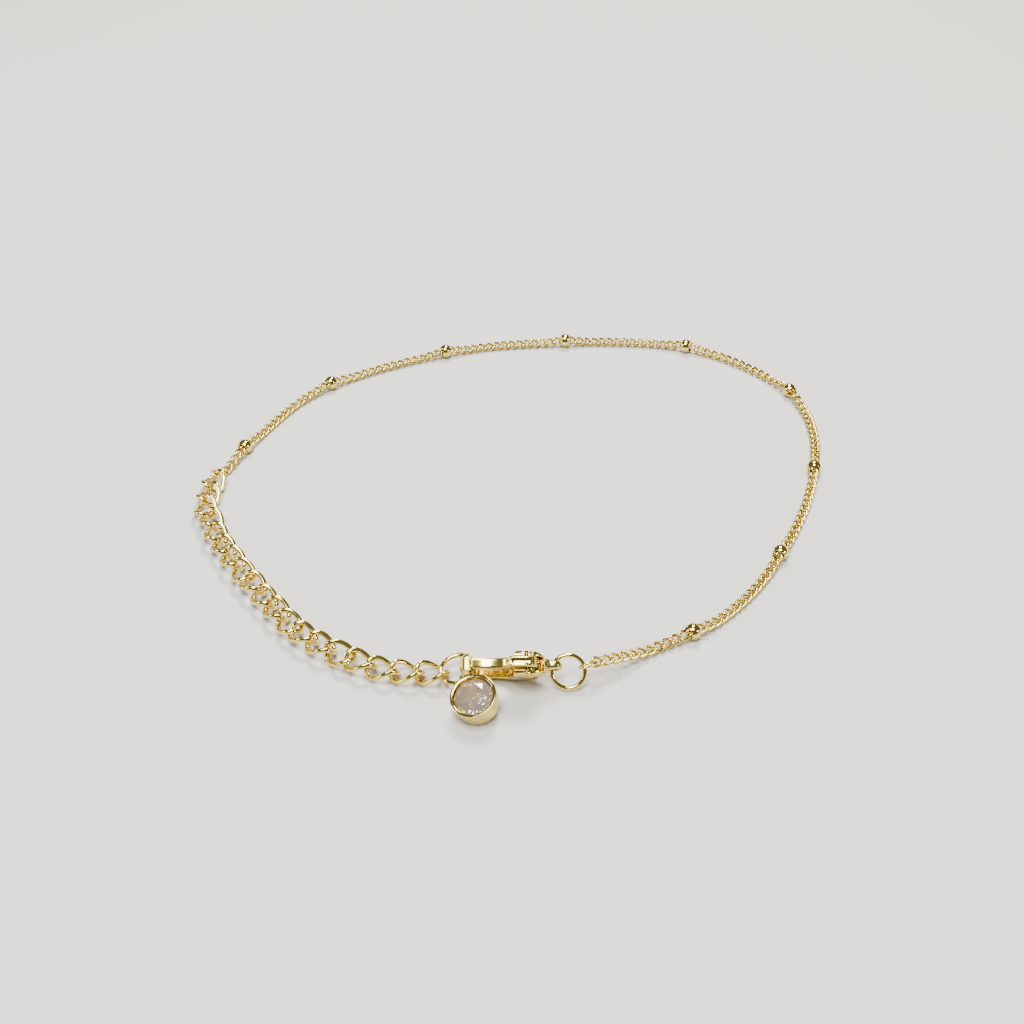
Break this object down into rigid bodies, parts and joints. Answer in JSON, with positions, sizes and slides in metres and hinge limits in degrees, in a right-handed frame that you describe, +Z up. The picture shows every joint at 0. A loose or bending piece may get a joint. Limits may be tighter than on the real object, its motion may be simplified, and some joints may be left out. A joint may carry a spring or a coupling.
{
  "type": "link bracelet",
  "caption": "Fine curb-chain bracelet with round beads along it, a link extender, a lobster clasp and a small bezel-set stone, closed and lying flat.",
  "frame": {"origin": "centre of the footprint, on the surface that the closed bracelet lies on", "axes": "+X along the longest extent, from the extender's side toward the fine chain's side; -Y toward the clasp and the pendant; +Z up, square to the plane of the loop"},
  "size_m": [0.0813, 0.0746, 0.0053],
  "materials": {
    "chain": "pale gold plate, polished",
    "beads": "pale gold plate, mirror polished",
    "extender": "pale gold plate, polished",
    "rings": "pale gold plate, polished",
    "clasp": "pale gold plate over a cast body, polished",
    "bezel": "pale gold plate, polished",
    "stone": "clear, round brilliant cut"
  },
  "bodies": {
    "bracelet": {"chain_tube": "chain", "bead_1": "beads", "bead_2": "beads", "bead_3": "beads", "bead_4": "beads", "bead_5": "beads", "bead_6": "beads", "bead_7": "beads", "bead_8": "beads", "bead_9": "beads", "extender_link_01": "extender", "extender_link_02": "extender", "extender_link_03": "extender", "extender_link_04": "extender", "extender_link_05": "extender", "extender_link_06": "extender", "extender_link_07": "extender", "extender_link_08": "extender", "extender_link_09": "extender", "extender_link_10": "extender", "extender_link_11": "extender", "extender_link_12": "extender", "extender_link_13": "extender", "extender_link_14": "extender", "extender_link_15": "extender", "extender_link_16": "extender", "extender_link_17": "extender", "extender_link_18": "extender", "extender_link_19": "extender", "ring_extender_end": "rings", "ring_clasp": "rings", "clasp_body": "clasp", "clasp_rivet": "clasp", "setting": "bezel", "stone": "stone"},
    "clasp_lever": {"clasp_lever": "clasp"}
  },
  "joints": [
    {"name": "clasp_lever", "type": "hinge", "parent": "bracelet", "child": "clasp_lever", "pos_m": [0.00127, -0.0311, 0.00329], "axis": [0, -0.8387, -0.5446], "range_deg": [0, 8], "stiffness_Nm_per_rad": 0.004, "springref_deg": -11.46}
  ]
}
